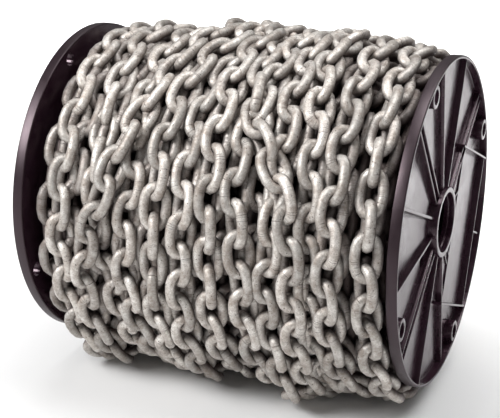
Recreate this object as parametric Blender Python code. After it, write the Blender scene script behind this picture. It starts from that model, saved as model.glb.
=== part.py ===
"""Reel of short-link steel chain on a two-flange moulded plastic spool.

The reel lies with its axis along X, and it rests on the outermost turns of its chain.
Every length is in metres. The origin is on the floor, under the middle of the reel.
"""

import math

import bmesh
import bpy
from mathutils import Matrix, Vector

# Chain
WIRE = 0.008                     # diameter of the round wire that a link is bent from
LINK_WIDTH = 0.026               # outside width of a link
LINK_PITCH = 0.0245              # inside length of a link, which is its step along the chain
LINK_TILT = math.radians(45.0)   # neighbouring links lean this far to either side
LINK_STRAIGHT = 0.60             # share of the pitch before the next link crosses
STRAND_REACH = (LINK_WIDTH - WIRE) / 2 * math.sin(LINK_TILT) + WIRE / 2
OUTER_TURNS = 12
TURN_SPACING = 0.0244            # between the middles of two neighbouring turns

# Spool
FLANGE_RADIUS = 0.140
INNER_WIDTH = 0.318              # between the flanges' inner faces
FLANGE_DEPTH = 0.0092
PLATE = 0.0020
RIM_WALL = 0.0026
EDGE = 0.0007                    # bevel on the rim's edges
HUB_RADIUS = 0.0298
BORE_RADIUS = 0.0255
BORE_LIP_RADIUS = 0.0240
BORE_LIP_DEPTH = 0.0045
BARREL_RADIUS = 0.065
BARREL_WALL = 0.003
GAP = 0.0003                     # kept between touching solids
SIDES = 48                       # round the spool

# Ribs and holes of a flange, with angles from +Y towards +Z
SPOKES = 12
SPOKE_START = math.radians(7.0)
SPOKE_TOP = 0.0064               # above the inner face, as the other tops are
SPOKE_THICK = 0.0028
TWIN_FIRST = 1                   # this spoke and every third after it are twins
TWIN_EVERY = 3
TWIN_OFFSET = 0.0040
TWIN_THICK = 0.0020
ROUND_ANGLE = math.radians(22.0)  # first boss and first plate hole
ROUND_COUNT = 4
BOSS_CIRCLE = 0.1298
BOSS_RADIUS = 0.0095
BOSS_HOLE = 0.0060
BOSS_TOP = 0.0090
PLATE_HOLE_CIRCLE = 0.050
PLATE_HOLE = 0.0055
PANEL_ANGLE = math.radians(337.0)
PANEL_NEAR = 0.0512              # from the axis, along the panel's angle
PANEL_FAR = 0.1148
PANEL_HALF_WIDTH = 0.0686
PANEL_TOP = 0.0032
FRAME_THICK = 0.0022
FRAME_NEAR = 0.028
CHORD_TOP = 0.0080
BURY = 0.0010                    # how far a rib's foot and ends run into what carries them

# Winding
CORE_RADIUS = 0.1359             # outside of the hidden turns
STRAND_RADIUS = CORE_RADIUS + GAP + STRAND_REACH   # to the middle of a link
WINDING_RADIUS = STRAND_RADIUS + LINK_PITCH ** 2 / (8 * STRAND_RADIUS)   # to a link's end
AXIS_HEIGHT = STRAND_RADIUS + STRAND_REACH
SAG = 0.075                      # how far the slack turns hang out below, as a share of radius
SAG_SPAN = math.radians(75.0)    # to either side of straight down
LAST_TURN_X = INNER_WIDTH / 2 - STRAND_REACH - 0.0018
NOTCH_DEPTH = 0.009              # grooves between the turns of the layer below
NOTCH_HALF_WIDTH = 0.002


def clear_scene():
    for old in list(bpy.data.objects):
        bpy.data.objects.remove(old, do_unlink=True)


def make_material(name, color, roughness, metallic):
    material = bpy.data.materials.new(name)
    material.use_nodes = True
    shader = material.node_tree.nodes["Principled BSDF"]
    shader.inputs["Base Color"].default_value = (*color, 1.0)
    shader.inputs["Roughness"].default_value = roughness
    shader.inputs["Metallic"].default_value = metallic
    material.diffuse_color = (*color, 1.0)
    return material


def make_object(name, mesh, material=None):
    thing = bpy.data.objects.new(name, mesh)
    bpy.context.scene.collection.objects.link(thing)
    if material and not mesh.materials:
        mesh.materials.append(material)
    return thing


def mesh_from_rings(name, rings):
    """A closed tube of quads through rings of points, each ring joined to the next one."""
    mesh_builder = bmesh.new()
    loops = [[mesh_builder.verts.new(point) for point in ring] for ring in rings]
    for here, ahead in zip(loops, loops[1:] + loops[:1]):
        for side in range(len(here)):
            after = (side + 1) % len(here)
            mesh_builder.faces.new((here[side], here[after], ahead[after], ahead[side]))
    bmesh.ops.recalc_face_normals(mesh_builder, faces=mesh_builder.faces)
    mesh = bpy.data.meshes.new(name)
    mesh_builder.to_mesh(mesh)
    mesh_builder.free()
    return mesh


def turned_mesh(name, profile, sides):
    """Turn a closed profile of (x, radius) points about the X axis."""
    rings = []
    for step in range(sides):
        angle = math.tau * step / sides
        rings.append([Vector((x, radius * math.cos(angle), radius * math.sin(angle)))
                      for x, radius in profile])
    return mesh_from_rings(name, rings)


# Flanges

def along(angle, forward, sideways, height=0.0):
    """A point on the flange, forward along an angle and sideways from it."""
    return Vector((height,
                   forward * math.cos(angle) - sideways * math.sin(angle),
                   forward * math.sin(angle) + sideways * math.cos(angle)))


def bar(builder, angle, near, far, sideways, thickness, top):
    """A straight rib on the flange's plate, with its foot buried in the plate."""
    corners = []
    for height in (PLATE - BURY, top):
        for forward, side in ((near, -1), (far, -1), (far, 1), (near, 1)):
            offset = sideways + side * thickness / 2
            corners.append(builder.verts.new(along(angle, forward, offset, height)))
    for quad in ((0, 1, 2, 3), (4, 7, 6, 5), (0, 4, 5, 1), (1, 5, 6, 2), (2, 6, 7, 3), (3, 7, 4, 0)):
        builder.faces.new([corners[index] for index in quad])


def rod(builder, angle, distance, radius, low, high, sides):
    """A cylinder that stands on the flange's plate."""
    middle = (low + high) / 2
    place = (Matrix.Translation(along(angle, distance, 0.0, middle))
             @ Matrix.Rotation(math.pi / 2, 4, "Y"))
    bmesh.ops.create_cone(builder, cap_ends=True, segments=sides, radius1=radius,
                          radius2=radius, depth=high - low, matrix=place)


def finish_cutter(name, builder):
    bmesh.ops.recalc_face_normals(builder, faces=builder.faces)
    mesh = bpy.data.meshes.new(name)
    builder.to_mesh(mesh)
    builder.free()
    cutter = make_object(name, mesh)
    cutter.hide_render = True
    cutter.display_type = "WIRE"
    return cutter


def spoke_ribs():
    """All spokes, the ones under the label panel cut short at its edge."""
    builder = bmesh.new()
    hub_end = HUB_RADIUS - BURY
    rim_end = FLANGE_RADIUS - RIM_WALL + BURY
    for index in range(SPOKES):
        angle = SPOKE_START + math.tau * index / SPOKES
        to_panel = math.cos(angle - PANEL_ANGLE)
        far = rim_end
        if to_panel > math.cos(math.radians(45.0)):
            far = (PANEL_NEAR + BURY) / to_panel
        if index % TWIN_EVERY == TWIN_FIRST:
            for side in (-1, 1):
                bar(builder, angle, hub_end, far, side * TWIN_OFFSET, TWIN_THICK, SPOKE_TOP)
        else:
            bar(builder, angle, hub_end, far, 0.0, SPOKE_THICK, SPOKE_TOP)
    return finish_cutter("spoke_ribs", builder)


def panel_slab():
    builder = bmesh.new()
    middle = (PANEL_NEAR + PANEL_FAR) / 2
    half = (PANEL_FAR - PANEL_NEAR) / 2
    bar(builder, PANEL_ANGLE, middle - half, middle + half, 0.0, 2 * PANEL_HALF_WIDTH, PANEL_TOP)
    return finish_cutter("panel_slab", builder)


def panel_sides():
    """The two tall ribs along the label panel, which run out into the rim."""
    builder = bmesh.new()
    rim_end = math.sqrt((FLANGE_RADIUS - RIM_WALL) ** 2 - PANEL_HALF_WIDTH ** 2)
    for side in (-1, 1):
        bar(builder, PANEL_ANGLE, FRAME_NEAR, rim_end, side * PANEL_HALF_WIDTH,
            FRAME_THICK, FLANGE_DEPTH - 2 * GAP)
    return finish_cutter("panel_sides", builder)


def panel_chord():
    """The rib across the panel's outer edge."""
    builder = bmesh.new()
    bar(builder, PANEL_ANGLE, PANEL_FAR - FRAME_THICK / 2, PANEL_FAR + FRAME_THICK / 2,
        0.0, 2 * PANEL_HALF_WIDTH, CHORD_TOP)
    return finish_cutter("panel_chord", builder)


def panel_stub():
    """The short rib from the chord's middle to the rim."""
    builder = bmesh.new()
    bar(builder, PANEL_ANGLE, PANEL_FAR, FLANGE_RADIUS - RIM_WALL + BURY, 0.0,
        FRAME_THICK, CHORD_TOP - GAP)
    return finish_cutter("panel_stub", builder)


def round_features(name, distance, radius, low, high, sides):
    builder = bmesh.new()
    for index in range(ROUND_COUNT):
        angle = ROUND_ANGLE + math.tau * index / ROUND_COUNT
        rod(builder, angle, distance, radius, low, high, sides)
    return finish_cutter(name, builder)


def flange_body():
    """The plate with its rim and hub, turned in one profile."""
    profile = [
        (0.0, BORE_LIP_RADIUS), (BORE_LIP_DEPTH, BORE_LIP_RADIUS),
        (BORE_LIP_DEPTH, BORE_RADIUS), (FLANGE_DEPTH, BORE_RADIUS),
        (FLANGE_DEPTH, HUB_RADIUS), (PLATE, HUB_RADIUS),
        (PLATE, FLANGE_RADIUS - RIM_WALL), (FLANGE_DEPTH, FLANGE_RADIUS - RIM_WALL),
        (FLANGE_DEPTH, FLANGE_RADIUS - EDGE), (FLANGE_DEPTH - EDGE, FLANGE_RADIUS),
        (EDGE, FLANGE_RADIUS), (0.0, FLANGE_RADIUS - EDGE),
    ]
    return make_object("flange_blank", turned_mesh("flange_blank", profile, SIDES))


def flange_mesh():
    """One moulding, with its outer, ribbed face towards +X and its inner face at x = 0."""
    blank = flange_body()
    additions = [spoke_ribs(), panel_slab(), panel_sides(), panel_chord(), panel_stub(),
                 round_features("bosses", BOSS_CIRCLE, BOSS_RADIUS, PLATE - BURY, BOSS_TOP, 20)]
    cuts = [round_features("boss_holes", BOSS_CIRCLE, BOSS_HOLE, -BURY, FLANGE_DEPTH + BURY, 12),
            round_features("plate_holes", PLATE_HOLE_CIRCLE, PLATE_HOLE, -BURY,
                           FLANGE_DEPTH + BURY, 12)]
    for cutter in additions + cuts:
        step = blank.modifiers.new(cutter.name, "BOOLEAN")
        step.object = cutter
        step.operation = "UNION" if cutter in additions else "DIFFERENCE"
        step.solver = "EXACT"
    evaluated = blank.evaluated_get(bpy.context.evaluated_depsgraph_get())
    mesh = bpy.data.meshes.new_from_object(evaluated)
    mesh.name = "flange"
    for helper in additions + cuts + [blank]:
        bpy.data.objects.remove(helper, do_unlink=True)
    return mesh


def add_flanges(material):
    """The same moulding twice, turned so that the bosses of both stand in line."""
    mesh = flange_mesh()
    right = make_object("flange_right", mesh, material)
    right.location = (INNER_WIDTH / 2, 0.0, AXIS_HEIGHT)
    left = make_object("flange_left", mesh, material)
    boss_shift = 2 * ROUND_ANGLE
    left.matrix_world = (Matrix.Translation((-INNER_WIDTH / 2, 0.0, AXIS_HEIGHT))
                         @ Matrix.Rotation(boss_shift, 4, "X")
                         @ Matrix.Rotation(math.pi, 4, "Z"))


def add_barrel(material):
    half = INNER_WIDTH / 2 - GAP
    profile = [(-half, BARREL_RADIUS - BARREL_WALL), (half, BARREL_RADIUS - BARREL_WALL),
               (half, BARREL_RADIUS), (-half, BARREL_RADIUS)]
    barrel = make_object("barrel", turned_mesh("barrel", profile, SIDES), material)
    barrel.location = (0.0, 0.0, AXIS_HEIGHT)


# Chain

def turn_x(index):
    return LAST_TURN_X - (OUTER_TURNS - 1 - index) * TURN_SPACING


def add_chain_core(material):
    """The hidden turns as one turned solid, grooved where it shows beside the first turn."""
    half = INNER_WIDTH / 2 - GAP
    groove_x = turn_x(0) - TURN_SPACING / 2
    valley = CORE_RADIUS - NOTCH_DEPTH
    inner = BARREL_RADIUS + GAP
    profile = [
        (-half, inner), (half, inner), (half, CORE_RADIUS),
        (groove_x + 3 * NOTCH_HALF_WIDTH, CORE_RADIUS), (groove_x + NOTCH_HALF_WIDTH, valley),
        (groove_x - NOTCH_HALF_WIDTH, valley), (groove_x - 3 * NOTCH_HALF_WIDTH, CORE_RADIUS),
        (-half + 2 * NOTCH_HALF_WIDTH, CORE_RADIUS), (-half, valley),
    ]
    core = make_object("chain_core", turned_mesh("chain_core", profile, SIDES), material)
    core.location = (0.0, 0.0, AXIS_HEIGHT)


def winding_point(angle):
    """Middle of the strand at an angle from +Y, where slack turns hang out and lie flat."""
    from_bottom = abs((angle + math.pi / 2 + math.pi) % math.tau - math.pi)
    radius = WINDING_RADIUS
    if from_bottom < SAG_SPAN:
        radius *= 1 + SAG * (0.5 + 0.5 * math.cos(math.pi * from_bottom / SAG_SPAN))
    height = max(radius * math.sin(angle), STRAND_REACH - AXIS_HEIGHT)
    return Vector((0.0, radius * math.cos(angle), height + AXIS_HEIGHT))


def link_joints(shift):
    """Points where the links of a turn meet, evenly spaced along it from straight down."""
    fine = 720
    points = [winding_point(math.tau * step / fine - math.pi / 2) for step in range(fine + 1)]
    reached = [0.0]
    for before, after in zip(points, points[1:]):
        reached.append(reached[-1] + (after - before).length)
    total = reached[-1]
    count = 2 * round(total / LINK_PITCH / 2)
    joints = []
    step = 0
    for index in range(count):
        target = (index + shift) % count * total / count
        if index == 0 or target < reached[step]:
            step = 0
        while reached[step + 1] < target:
            step += 1
        share = (target - reached[step]) / (reached[step + 1] - reached[step])
        joints.append(points[step].lerp(points[step + 1], share))
    return joints


def link_section(centre, outward, tilt):
    """Four corners of a leaning link, which reach as far as its round wire does."""
    half_thick = 0.47 * WIRE
    half_wide = STRAND_REACH / math.sin(LINK_TILT) - half_thick
    across = Vector((1.0, 0.0, 0.0))
    wide = across * math.cos(tilt) + outward * math.sin(tilt)
    thick = outward * math.cos(tilt) - across * math.sin(tilt)
    corners = ((1, -1), (1, 1), (-1, 1), (-1, -1))
    return [centre + wide * half_wide * a + thick * half_thick * b for a, b in corners]


def turn_mesh(name, shift):
    """One turn: a ring of links that lean left and right by turns, necked where they cross."""
    joints = link_joints(shift)
    builder = bmesh.new()
    loops = []
    for index, start in enumerate(joints):
        end = joints[(index + 1) % len(joints)]
        ahead = (end - start).normalized()
        outward = ahead.cross(Vector((1.0, 0.0, 0.0)))
        tilt = LINK_TILT if index % 2 == 0 else -LINK_TILT
        for share in (0.5 - LINK_STRAIGHT / 2, 0.5 + LINK_STRAIGHT / 2):
            ring = link_section(start.lerp(end, share), outward, tilt)
            loops.append([builder.verts.new(point) for point in ring])
    for place, here in enumerate(loops):
        there = loops[(place + 1) % len(loops)]
        crossing = place % 2 == 1
        leaning_right = (place // 2) % 2 == 0
        for side in range(4):
            after = (side + 1) % 4
            if not crossing:
                builder.faces.new((here[side], here[after], there[after], there[side]))
            elif leaning_right:
                builder.faces.new((here[side], here[after], there[after]))
                builder.faces.new((here[side], there[after], there[side]))
            else:
                builder.faces.new((here[side], here[after], there[side]))
                builder.faces.new((here[after], there[after], there[side]))
    bmesh.ops.recalc_face_normals(builder, faces=builder.faces)
    mesh = bpy.data.meshes.new(name)
    builder.to_mesh(mesh)
    builder.free()
    return mesh


def add_outer_turns(material):
    for index in range(OUTER_TURNS):
        name = f"chain_turn_{index + 1:02d}"
        turn = make_object(name, turn_mesh(name, 0.5 * (index % 4)), material)
        turn.location.x = turn_x(index)


def main():
    clear_scene()
    plastic = make_material("black_plastic", (0.020, 0.013, 0.018), 0.35, 0.0)
    zinc = make_material("galvanised_steel", (0.47, 0.44, 0.41), 0.55, 0.85)
    add_flanges(plastic)
    add_barrel(plastic)
    add_chain_core(zinc)
    add_outer_turns(zinc)


main()
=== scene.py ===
"""Looks for a full reel of galvanised short-link chain on a black moulded plastic spool.

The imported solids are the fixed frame: they give the axis, the flanges' faces and the room that the
chain has. The chain here is one path of welded links, five layers deep, and both flanges are
moulded again with rounded edges. Lengths are in metres, +X runs along the reel's axis.
"""
import math

import bmesh
import bpy
import numpy as np
from bpy.props import FloatProperty, FloatVectorProperty, IntProperty, PointerProperty
from mathutils import Matrix, Vector


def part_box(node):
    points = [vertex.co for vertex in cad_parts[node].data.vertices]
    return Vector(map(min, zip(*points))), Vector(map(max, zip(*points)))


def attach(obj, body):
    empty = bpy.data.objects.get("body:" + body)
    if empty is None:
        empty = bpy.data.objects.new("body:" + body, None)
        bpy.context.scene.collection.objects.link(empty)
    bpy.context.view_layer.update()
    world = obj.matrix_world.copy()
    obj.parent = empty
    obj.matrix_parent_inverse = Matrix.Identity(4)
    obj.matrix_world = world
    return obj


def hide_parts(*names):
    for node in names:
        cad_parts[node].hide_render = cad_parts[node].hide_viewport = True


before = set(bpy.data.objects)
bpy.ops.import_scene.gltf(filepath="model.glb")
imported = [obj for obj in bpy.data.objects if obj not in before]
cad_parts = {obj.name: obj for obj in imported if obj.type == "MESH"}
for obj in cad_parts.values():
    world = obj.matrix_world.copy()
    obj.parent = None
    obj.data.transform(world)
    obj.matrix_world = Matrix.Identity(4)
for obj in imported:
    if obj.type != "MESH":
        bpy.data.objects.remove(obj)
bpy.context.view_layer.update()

bl_info = {
    "name": "Chain reel looks",
    "version": (1, 0, 0),
    "blender": (4, 5, 0),
    "location": "3D View > Sidebar > Reel",
    "description": "Builds the links, flanges and finishes of a reel of steel chain",
    "category": "Object",
}

AXIS = (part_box("barrel")[0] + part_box("barrel")[1]) / 2
INNER_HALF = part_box("flange_right")[0].x
FLANGE_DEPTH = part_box("flange_right")[1].x - INNER_HALF
FLANGE_RADIUS = (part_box("flange_right")[1].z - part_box("flange_right")[0].z) / 2
TURN_NODES = sorted(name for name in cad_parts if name.startswith("chain_turn"))

# The outer strands, in the order in which the chain is wound. A strand has the angle of one link
# that leans left, and how far it lies on the floor in front of the axis, in millimetres. Each of
# its rows is an angle from the front towards the top, the place from the left flange and the lift
# over its neighbours in millimetres, and a twist of the links in degrees.
STRANDS = (
    (59.0, 60, ((92, 36.6, -2), (75, 36.6, -1), (26, 35.0), (1, 32.6), (-23, 31.8), (-80, 33.0))),
    (56.5, 36, ((75, 63.6), (60, 64.0), (45, 64.5, 0, 40), (24, 65.7, -1, 40), (13, 66.8, -4),
                (-5, 73.1, -5), (-21, 80.0, -2), (-80, 80.6))),
    (60.2, 60, ((92, 131.0, 1), (75, 119.8, 2), (67.6, 114.5, 3), (55, 110.2, 4), (42, 99.6, 8),
                (31, 90.1, 9), (18, 81.6, 8), (6, 70.0, 6), (-4, 60.4, 4), (-16, 53.0, 1.5),
                (-26, 50.9), (-80, 52.0))),
    (8.5, 40, ((92, 89.0, -2), (75, 89.0, -1), (55, 91.2, -1), (38, 95.4, -4), (28, 98.5, -4),
                (22, 100.7, -3), (6, 98.6, -1), (-11, 95.4), (-23, 96.5), (-80, 99.6))),
    (51.6, 50, ((92, 155.0, 1), (80, 149.0, 1), (68, 139.0, 1), (61.5, 132.5), (50, 127.6),
                (38, 125.5), (20, 125.0, 0, 10), (1, 123.6, 0, 38), (-17, 120.8, 0, 38),
                (-31, 118.7), (-80, 118.7))),
    (44.2, 60, ((92, 165.0, -4), (75, 156.0, -5), (50, 148.8, -3), (32, 148.4, -2),
                (13.5, 148.4, -2), (-5, 147.3, -2), (-23, 144.2, -1), (-80, 141.6))),
    (56.5, 35, ((92, 173.0), (75, 168.0), (60, 165.0), (54, 167.5), (38, 167.5), (20, 170.2),
                (6, 171.5, 0, 38), (-14, 171.3, 0, 42), (-30, 169.6), (-80, 167.5))),
    (45.5, 55, ((92, 183.0, -3.5), (75, 184.0, -2), (67, 185.1, 1), (53, 189.1, 3, 30),
                (43, 197.6, 4), (35.6, 212.0, 5), (27, 226.8, 5), (17, 237.9, 4.5),
                (6, 243.8, 2.5), (-11, 244.2, 1), (-30, 241.7), (-80, 241.7))),
    (20.8, 45, ((92, 201.4, -3), (75, 201.4, -2), (60, 200.0, -1), (44, 195.0, -5),
                (35, 190.0, -4), (22, 190.8, -2), (6, 198.2), (-5, 201.4), (-22, 201.4),
                (-80, 203.5))),
    (52.8, 80, ((92, 218.4, -1), (75, 218.4), (62.7, 220.5), (50, 221.5), (38, 223.0, -4),
                (28, 224.0, -5), (20, 224.7, -5), (1, 225.0, -3), (-16, 221.5, -3),
                (-30, 223.7, -2), (-80, 224.7))),
    (51.6, 35, ((75, 235.3), (67, 237.4), (56, 242.7), (44, 248.0), (34, 250.6, -1),
                (22, 252.7, -4), (13, 253.3, -6), (0, 254.4, -7), (-30, 254.4, -7),
                (-80, 256.5, -5))),
    (57.8, 22, ((92, 268.5, -2), (75, 269.0, -1), (50, 271.5), (20, 272.5), (-5, 272.0),
                (-23, 272.5), (-80, 275.0))),
    (6.0, 28, ((92, 295.0, -3), (75, 296.0, -2), (62, 298.0), (48, 297.0, 0, 35),
                (26, 300.0, 0, 35), (6, 303.0), (-17, 303.5), (-80, 302.5))),
)
# Place from the left flange, and how far the outer links reach from the axis, in millimetres
HILLS = ((0, 146), (35, 147.5), (60, 150), (90, 148.5), (108, 153.5), (120, 156.2),
         (142, 156.2), (152, 155.5), (165, 155.8), (182, 154), (205, 156.0), (255, 156.2),
         (272, 155), (285, 153), (300, 151.5), (318, 150.5))
LEVEL_REACH = 155.5              # of the outer links over level layers
MOST_REACH = AXIS.z - 0.0002     # the highest links reach no farther than the CAD's turns
STRAND_START = 115               # degrees, where a strand comes over the top from the back
STRAND_END = -80                 # and where it goes under, to the back again
STRAND_BACK = STRAND_START - 360
BACK_EASE = 30                   # degrees of the back at both ends where a strand keeps its place
PASSED_OVER = (8, 9)             # strands that another one crosses behind the reel
PASSED_LIFT = -5.0               # millimetres that they sink by there
TUCKED_END = ((40, -1.0, -1.0), (75, -9.0, -5.0))    # degrees past the last strand, place, lift

# Hidden layers from the barrel out: first and last radius, where each starts and ends from the
# left flange, and the first and last share of the outer layer's ups and downs that it has
INNER_LAYERS = (
    (0.0766, 0.0766, 0.014, 0.304, 0.0, 0.0),
    (0.0938, 0.0938, 0.304, 0.014, 0.3, 0.3),
    (0.1110, 0.1110, 0.016, 0.306, 0.6, 0.6),
    (0.1285, 0.1335, 0.306, 0.019, 0.9, 0.3),
)
OUTER_LEVEL = 0.1420             # middle of the outer layer, where the last hidden one climbs to
# The last hidden turn crosses the one before it on its way out: degrees before the outer layer
# starts, place from the left flange, radius and share
CROSSING = ((135.0, 0.020, 0.1340, 0.3), (60.0, 0.030, 0.1505, 1.0), (25.0, 0.0355, 0.1490, 1.0))
INNER_TURNS = 12.5               # in each hidden layer
CLIMB_TURNS = 0.5                # from one layer up to the next
LAST_HIDDEN = STRAND_START + 360.0 * (INNER_TURNS + CLIMB_TURNS)    # where that layer starts
HIDDEN_REST = 0.050              # how far its slack reaches in front of the axis
HIDDEN_SLACK = 0.4               # share of the outer slack that it has
STEP = 2.0                       # degrees between two points of the path
PLACE_EASE = 4                   # steps over which the strands' rows are smoothed
LEVEL_EASE = 6
WAVE_COUNT = 7                   # waves that make up one unevenness
WAVE_RATES = (0.6, 3.4)          # slowest and fastest of them, in waves a turn
WAVE_PEAK = 2.6                  # about what they add up to
PLACE_WAVE = 0.0010              # unevenness of a strand's place along the reel
TWIST_WAVE = 9.0                 # degrees
LEVEL_WAVE = 0.0005              # of its distance from the axis
REACH_GAP = 0.0006               # between the outer links and their reach
FLOOR_GAP = 0.0010
SAG_SPAN = math.radians(75.0)    # slack hangs out this far to either side of straight down
PHASE_MARGIN = 15                # degrees at a strand's ends where its link spacing may change
SQUARENESS = 0.84                # power of a link's oval, which is 1 for an ellipse
WELD_SWELL = 0.05                # how much thicker a link's welded side is
LINK_INSIDE = (1.0, 0.35)        # squared share of the way out to the wire, unshaded and fully shaded, for painted shade inside a link
LINK_BELOW = (0.45, -0.40)       # how far a skin faces away from the reel, unshaded and fully shaded, for painted shade under a link


# Settings that a user would change

def length_setting(name, description, default, least):
    return FloatProperty(name=name, description=description, default=default, min=least,
                         unit="LENGTH")


def angle_setting(name, description, degrees):
    return FloatProperty(name=name, description=description, default=math.radians(degrees),
                         subtype="ANGLE")


def color_setting(name, description, default):
    return FloatVectorProperty(name=name, description=description, default=default, min=0.0,
                               max=1.0, subtype="COLOR")


class ReelChainSettings(bpy.types.PropertyGroup):
    wire: length_setting("Wire", "Diameter of the wire that a link is bent from", 0.0086, 0.002)
    width: length_setting("Link width", "Outside width of a link", 0.027, 0.01)
    pitch: length_setting("Link pitch", "Inside length of a link", 0.0245, 0.01)
    lean: angle_setting("Lean", "How far the links lean to either side", 36.0)
    lean_jitter: angle_setting("Lean jitter", "How unevenly the links lean", 5.0)
    zinc: color_setting("Zinc", "Colour of the galvanised coating", (0.70, 0.675, 0.64))
    zinc_dark: color_setting("Dull zinc", "Colour of dull, stained zinc", (0.37, 0.325, 0.29))
    seed: IntProperty(name="Seed", description="Seed of all the unevenness", default=7, min=0)


class ReelSpoolSettings(bpy.types.PropertyGroup):
    rim_wall: length_setting("Rim wall", "Thickness of the rim", 0.0026, 0.001)
    plate: length_setting("Plate", "Thickness of a flange's plate", 0.0020, 0.001)
    rib_height: length_setting("Spoke top", "Top of the spokes over the inner face", 0.0064, 0.003)
    rib_thickness: length_setting("Spoke thickness", "Thickness of a single spoke", 0.0028, 0.001)
    plastic: color_setting("Plastic", "Colour of the moulded plastic", (0.020, 0.008, 0.014))


class ReelStageSettings(bpy.types.PropertyGroup):
    azimuth: angle_setting("Azimuth", "Camera angle round the reel", 22.78)
    elevation: angle_setting("Elevation", "Camera angle over the floor", 19.58)
    distance: length_setting("Distance", "From the camera to its target", 1.2453, 0.3)
    lens: FloatProperty(name="Lens", description="Focal length in millimetres",
                        default=100.83, min=20.0)
    target: FloatVectorProperty(name="Target", description="Point that the camera looks at",
                                default=(-0.01064, 0.0, 0.14419), subtype="TRANSLATION")
    fill: FloatProperty(name="Fill", description="Strength of the light from all sides",
                        default=0.17, min=0.0)
    floor: color_setting("Floor", "Colour of the floor", (0.82, 0.82, 0.82))


# Node helpers

def set_inputs(tree, node, inputs):
    """Link or set a node's inputs, by name or number."""
    for key, value in inputs.items():
        if isinstance(value, bpy.types.NodeSocket):
            tree.links.new(value, node.inputs[key])
        else:
            node.inputs[key].default_value = value


def add_node(tree, kind, inputs=None, **settings):
    """A new node, with its properties set before its inputs."""
    node = tree.nodes.new(kind)
    for name, value in settings.items():
        setattr(node, name, value)
    set_inputs(tree, node, inputs or {})
    return node


def output(tree, kind, inputs=None, **settings):
    """First output of a new node."""
    return add_node(tree, kind, inputs, **settings).outputs[0]


def calculate(tree, operation, first, second=0.0, third=0.0):
    return output(tree, "ShaderNodeMath", {0: first, 1: second, 2: third}, operation=operation)


def times(tree, first, second):
    return calculate(tree, "MULTIPLY", first, second)


def vector_math(tree, operation, first, second=(0.0, 0.0, 0.0)):
    """Result of a Vector Math node, a number for a length or a dot product."""
    node = add_node(tree, "ShaderNodeVectorMath", {0: first, 1: second}, operation=operation)
    return node.outputs["Value" if operation in ("LENGTH", "DOT_PRODUCT") else "Vector"]


def map_range(tree, value, start, end, to_start=0.0, to_end=1.0):
    """A value rescaled from one range to another, and held inside it."""
    return output(tree, "ShaderNodeMapRange", {"Value": value, "From Min": start, "From Max": end,
                                               "To Min": to_start, "To Max": to_end})


def off_axis(tree, place):
    """The way to a place from the nearest point of the reel's axis."""
    from_middle = vector_math(tree, "SUBTRACT", place, tuple(AXIS))
    return vector_math(tree, "MULTIPLY", from_middle, (0.0, 1.0, 1.0))


def new_tree(name, kind, result, inputs):
    """A node group with one result, and inputs named with a default or a type of socket."""
    tree = bpy.data.node_groups.new(name, kind)
    for label, value in inputs.items():
        number = {float: "Float", int: "Int"}.get(type(value))
        socket = tree.interface.new_socket(label, in_out="INPUT",
                                           socket_type="NodeSocket" + (number or value))
        if number:
            socket.default_value = value
    tree.interface.new_socket(result[0], in_out="OUTPUT", socket_type="NodeSocket" + result[1])
    return tree, tree.nodes.new("NodeGroupInput").outputs, tree.nodes.new("NodeGroupOutput").inputs


def finish_tree(tree, geometry, finish, result):
    """End a Geometry Nodes tree with the finish of the mesh that it makes."""
    finished = output(tree, "GeometryNodeSetMaterial", {"Geometry": geometry, "Material": finish})
    tree.links.new(finished, result["Geometry"])


def add_object(name, data):
    item = bpy.data.objects.new(name, data)
    bpy.context.scene.collection.objects.link(item)
    return item


def grow(name, base_mesh, tree, values):
    """Run a Geometry Nodes tree on a mesh and return the plain mesh that comes out."""
    carrier = add_object(name + "_path", base_mesh)
    modifier = carrier.modifiers.new(tree.name, "NODES")
    modifier.node_group = tree
    for item in tree.interface.items_tree:
        if item.item_type == "SOCKET" and item.in_out == "INPUT" and item.name in values:
            modifier[item.identifier] = values[item.name]
    carrier.update_tag()
    evaluated = carrier.evaluated_get(bpy.context.evaluated_depsgraph_get())
    mesh = bpy.data.meshes.new_from_object(evaluated)
    mesh.name = name
    carrier.modifiers.remove(modifier)
    bpy.data.objects.remove(carrier, do_unlink=True)
    return mesh


def add_piece(name, mesh, replaced=()):
    """Put a finished mesh in the scene as a piece that rides on the reel."""
    if not mesh.polygons:
        raise RuntimeError(f"{name} came out empty")
    piece = add_object(name, mesh)
    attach(piece, "root")
    if replaced:
        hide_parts(*replaced)
    return piece


# Finishes

DULL_GRAIN = (0.20, 0.165, 0.14, 1.0)      # rough specks in the zinc
PIT_DIRT = (0.060, 0.045, 0.038, 1.0)
CRACK_DIRT = (0.075, 0.055, 0.050, 1.0)
PAINTED_SHADE = (0.075, 0.050, 0.048, 1.0)         # painted shade inside the links, below them and in the deep layers
DARKEST_TONE = 0.80                        # brightness of the darkest link
TONE_SPREAD = 0.44                         # how much brighter the brightest one is
SHADE_START_REACH = 0.150                        # painted shade darkens hidden links inwards from this radius,
FULL_SHADE_REACH = 0.126                        # down to this one
FLOW_MARK = (0.032, 0.016, 0.024, 1.0)     # cloudy streaks in the plastic
DUST = (0.16, 0.14, 0.14, 1.0)
RIM_BLACK = (0.006, 0.003, 0.004, 1.0)     # the rims' outsides, which are duller too
RIM_BAND = (0.0016, 0.0004)                # below the flange's radius, where they start to be


def noise(tree, place, size, detail, roughness=0.5):
    """Value of a Noise Texture."""
    return output(tree, "ShaderNodeTexNoise",
                  {"Vector": place, "Scale": size, "Detail": detail, "Roughness": roughness})


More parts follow.
